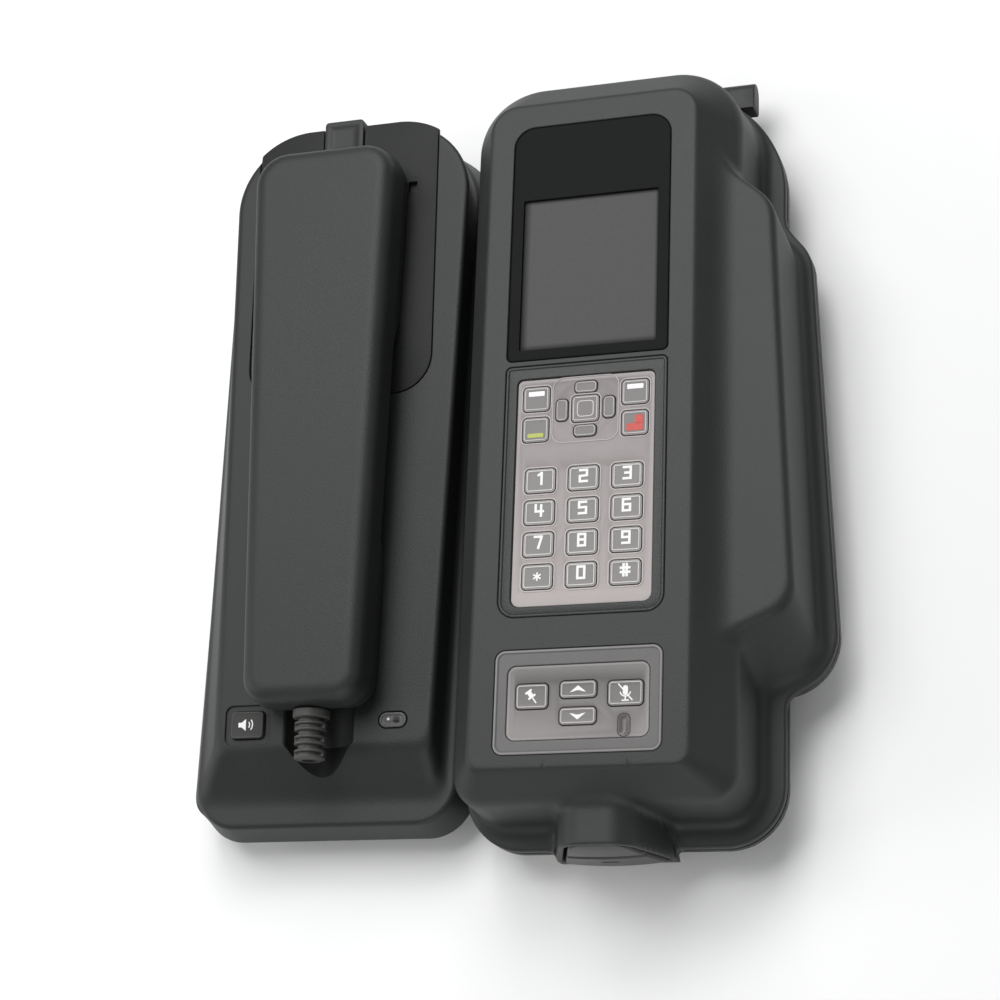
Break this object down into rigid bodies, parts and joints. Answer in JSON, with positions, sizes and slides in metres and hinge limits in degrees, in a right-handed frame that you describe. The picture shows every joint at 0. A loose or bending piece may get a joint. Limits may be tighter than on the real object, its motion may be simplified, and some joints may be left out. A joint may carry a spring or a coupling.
{
  "type": "satellite phone docking station",
  "caption": "Sealed clamshell docking station holding a satellite phone under a keypad and display window, with a privacy handset in a sloping cradle beside it.",
  "frame": {"origin": "middle of the footprint, on the mounting plane behind both units", "axes": "+Z out of the fronts, +Y towards the display and ear ends, +X from the handset cradle to the phone dock"},
  "size_m": [0.2284, 0.2848, 0.0643],
  "materials": {
    "lid_plastic": "finely textured charcoal moulded plastic",
    "cradle_plastic": "finely textured charcoal moulded plastic",
    "base_plastic": "darker matt moulded plastic",
    "handset_plastic": "matt moulded plastic, finer texture",
    "bezel_black": "smooth satin black plastic",
    "window_black": "polished clear plastic with a black printed mask",
    "display_grey": "reflective display, switched off",
    "clear_silicone": "soft milky clear silicone with printed figures",
    "grey_rubber": "soft grey rubber with printed icons",
    "keymat_rubber": "black rubber",
    "seal_rubber": "black foam rubber",
    "boot_rubber": "ribbed dark rubber",
    "phone_plastic": "matt black plastic",
    "board_green": "solder resist over fibreglass",
    "brass": "turned, nickel flashed",
    "steel": "bright steel",
    "plate_alu": "sheet, brushed"
  },
  "bodies": {
    "housing": {"dock_base": "base_plastic", "lid_gasket": "seal_rubber", "hinge_pin": "steel", "phone_tray": "base_plastic", "dock_connector": "phone_plastic", "main_board": "board_green", "speaker": "phone_plastic", "io_sockets": "brass", "phone_front": "phone_plastic", "phone_back": "phone_plastic", "phone_display": "display_grey", "phone_keymat": "keymat_rubber", "phone_antenna": "phone_plastic", "cradle_base": "base_plastic", "cradle_top": "cradle_plastic", "cradle_insert": "base_plastic", "cradle_led": "window_black", "joining_plate": "plate_alu", "back_screws": "steel"},
    "lid": {"dock_lid": "lid_plastic", "display_window": "window_black", "keypad_frame": "bezel_black", "keypad_membrane": "clear_silicone", "control_frame": "bezel_black", "control_membrane": "grey_rubber", "sensor_lens": "window_black", "latch_spring": "steel"},
    "latch": {"latch_button": "lid_plastic"},
    "catch": {"cradle_catch": "base_plastic"},
    "handset": {"handset_back": "lid_plastic", "handset_front": "handset_plastic", "handset_earpiece": "handset_plastic", "handset_microphone": "handset_plastic", "handset_boot": "boot_rubber"},
    "speaker_key": {"speaker_key": "grey_rubber"},
    "key_1": {"key_1": "clear_silicone"},
    "key_2": {"key_2": "clear_silicone"},
    "key_3": {"key_3": "clear_silicone"},
    "key_4": {"key_4": "clear_silicone"},
    "key_5": {"key_5": "clear_silicone"},
    "key_6": {"key_6": "clear_silicone"},
    "key_7": {"key_7": "clear_silicone"},
    "key_8": {"key_8": "clear_silicone"},
    "key_9": {"key_9": "clear_silicone"},
    "key_star": {"key_star": "clear_silicone"},
    "key_0": {"key_0": "clear_silicone"},
    "key_hash": {"key_hash": "clear_silicone"},
    "key_soft_left": {"key_soft_left": "clear_silicone"},
    "key_call": {"key_call": "clear_silicone"},
    "key_soft_right": {"key_soft_right": "clear_silicone"},
    "key_end": {"key_end": "clear_silicone"},
    "key_ok": {"key_ok": "clear_silicone"},
    "key_nav_up": {"key_nav_up": "clear_silicone"},
    "key_nav_down": {"key_nav_down": "clear_silicone"},
    "key_nav_left": {"key_nav_left": "clear_silicone"},
    "key_nav_right": {"key_nav_right": "clear_silicone"},
    "panel_key_lock": {"panel_key_lock": "grey_rubber"},
    "panel_key_up": {"panel_key_up": "grey_rubber"},
    "panel_key_mute": {"panel_key_mute": "grey_rubber"},
    "panel_key_down": {"panel_key_down": "grey_rubber"}
  },
  "joints": [
    {"name": "lid_hinge", "type": "hinge", "parent": "housing", "child": "lid", "pos_m": [0.03655, 0.1382, 0.015], "axis": [-1, 0, 0], "range_deg": [0, 100]},
    {"name": "latch_press", "type": "slide", "parent": "lid", "child": "latch", "axis": [0, 1, 0], "range_m": [0, 0.0025], "stiffness_N_per_m": 1500, "deforming": ["latch_spring"]},
    {"name": "catch_slide", "type": "slide", "parent": "housing", "child": "catch", "axis": [0, 0.999, 0.0436], "range_m": [0, 0.0025], "stiffness_N_per_m": 1200},
    {"name": "handset_lift", "type": "slide", "parent": "housing", "child": "handset", "axis": [0, -0.0436, 0.999], "range_m": [0, 0.06]},
    {"name": "speaker_key_press", "type": "slide", "parent": "housing", "child": "speaker_key", "axis": [0, 0.0436, -0.999], "range_m": [0, 0.001], "stiffness_N_per_m": 800},
    {"name": "key_1_press", "type": "slide", "parent": "lid", "child": "key_1", "axis": [0, 0, -1], "range_m": [0, 0.001], "stiffness_N_per_m": 800},
    {"name": "key_2_press", "type": "slide", "parent": "lid", "child": "key_2", "axis": [0, 0, -1], "range_m": [0, 0.001], "stiffness_N_per_m": 800},
    {"name": "key_3_press", "type": "slide", "parent": "lid", "child": "key_3", "axis": [0, 0, -1], "range_m": [0, 0.001], "stiffness_N_per_m": 800},
    {"name": "key_4_press", "type": "slide", "parent": "lid", "child": "key_4", "axis": [0, 0, -1], "range_m": [0, 0.001], "stiffness_N_per_m": 800},
    {"name": "key_5_press", "type": "slide", "parent": "lid", "child": "key_5", "axis": [0, 0, -1], "range_m": [0, 0.001], "stiffness_N_per_m": 800},
    {"name": "key_6_press", "type": "slide", "parent": "lid", "child": "key_6", "axis": [0, 0, -1], "range_m": [0, 0.001], "stiffness_N_per_m": 800},
    {"name": "key_7_press", "type": "slide", "parent": "lid", "child": "key_7", "axis": [0, 0, -1], "range_m": [0, 0.001], "stiffness_N_per_m": 800},
    {"name": "key_8_press", "type": "slide", "parent": "lid", "child": "key_8", "axis": [0, 0, -1], "range_m": [0, 0.001], "stiffness_N_per_m": 800},
    {"name": "key_9_press", "type": "slide", "parent": "lid", "child": "key_9", "axis": [0, 0, -1], "range_m": [0, 0.001], "stiffness_N_per_m": 800},
    {"name": "key_star_press", "type": "slide", "parent": "lid", "child": "key_star", "axis": [0, 0, -1], "range_m": [0, 0.001], "stiffness_N_per_m": 800},
    {"name": "key_0_press", "type": "slide", "parent": "lid", "child": "key_0", "axis": [0, 0, -1], "range_m": [0, 0.001], "stiffness_N_per_m": 800},
    {"name": "key_hash_press", "type": "slide", "parent": "lid", "child": "key_hash", "axis": [0, 0, -1], "range_m": [0, 0.001], "stiffness_N_per_m": 800},
    {"name": "key_soft_left_press", "type": "slide", "parent": "lid", "child": "key_soft_left", "axis": [0, 0, -1], "range_m": [0, 0.001], "stiffness_N_per_m": 800},
    {"name": "key_call_press", "type": "slide", "parent": "lid", "child": "key_call", "axis": [0, 0, -1], "range_m": [0, 0.001], "stiffness_N_per_m": 800},
    {"name": "key_soft_right_press", "type": "slide", "parent": "lid", "child": "key_soft_right", "axis": [0, 0, -1], "range_m": [0, 0.001], "stiffness_N_per_m": 800},
    {"name": "key_end_press", "type": "slide", "parent": "lid", "child": "key_end", "axis": [0, 0, -1], "range_m": [0, 0.001], "stiffness_N_per_m": 800},
    {"name": "key_ok_press", "type": "slide", "parent": "lid", "child": "key_ok", "axis": [0, 0, -1], "range_m": [0, 0.001], "stiffness_N_per_m": 800},
    {"name": "key_nav_up_press", "type": "slide", "parent": "lid", "child": "key_nav_up", "axis": [0, 0, -1], "range_m": [0, 0.001], "stiffness_N_per_m": 800},
    {"name": "key_nav_down_press", "type": "slide", "parent": "lid", "child": "key_nav_down", "axis": [0, 0, -1], "range_m": [0, 0.001], "stiffness_N_per_m": 800},
    {"name": "key_nav_left_press", "type": "slide", "parent": "lid", "child": "key_nav_left", "axis": [0, 0, -1], "range_m": [0, 0.001], "stiffness_N_per_m": 800},
    {"name": "key_nav_right_press", "type": "slide", "parent": "lid", "child": "key_nav_right", "axis": [0, 0, -1], "range_m": [0, 0.001], "stiffness_N_per_m": 800},
    {"name": "panel_key_lock_press", "type": "slide", "parent": "lid", "child": "panel_key_lock", "axis": [0, 0, -1], "range_m": [0, 0.001], "stiffness_N_per_m": 800},
    {"name": "panel_key_up_press", "type": "slide", "parent": "lid", "child": "panel_key_up", "axis": [0, 0, -1], "range_m": [0, 0.001], "stiffness_N_per_m": 800},
    {"name": "panel_key_mute_press", "type": "slide", "parent": "lid", "child": "panel_key_mute", "axis": [0, 0, -1], "range_m": [0, 0.001], "stiffness_N_per_m": 800},
    {"name": "panel_key_down_press", "type": "slide", "parent": "lid", "child": "panel_key_down", "axis": [0, 0, -1], "range_m": [0, 0.001], "stiffness_N_per_m": 800}
  ]
}
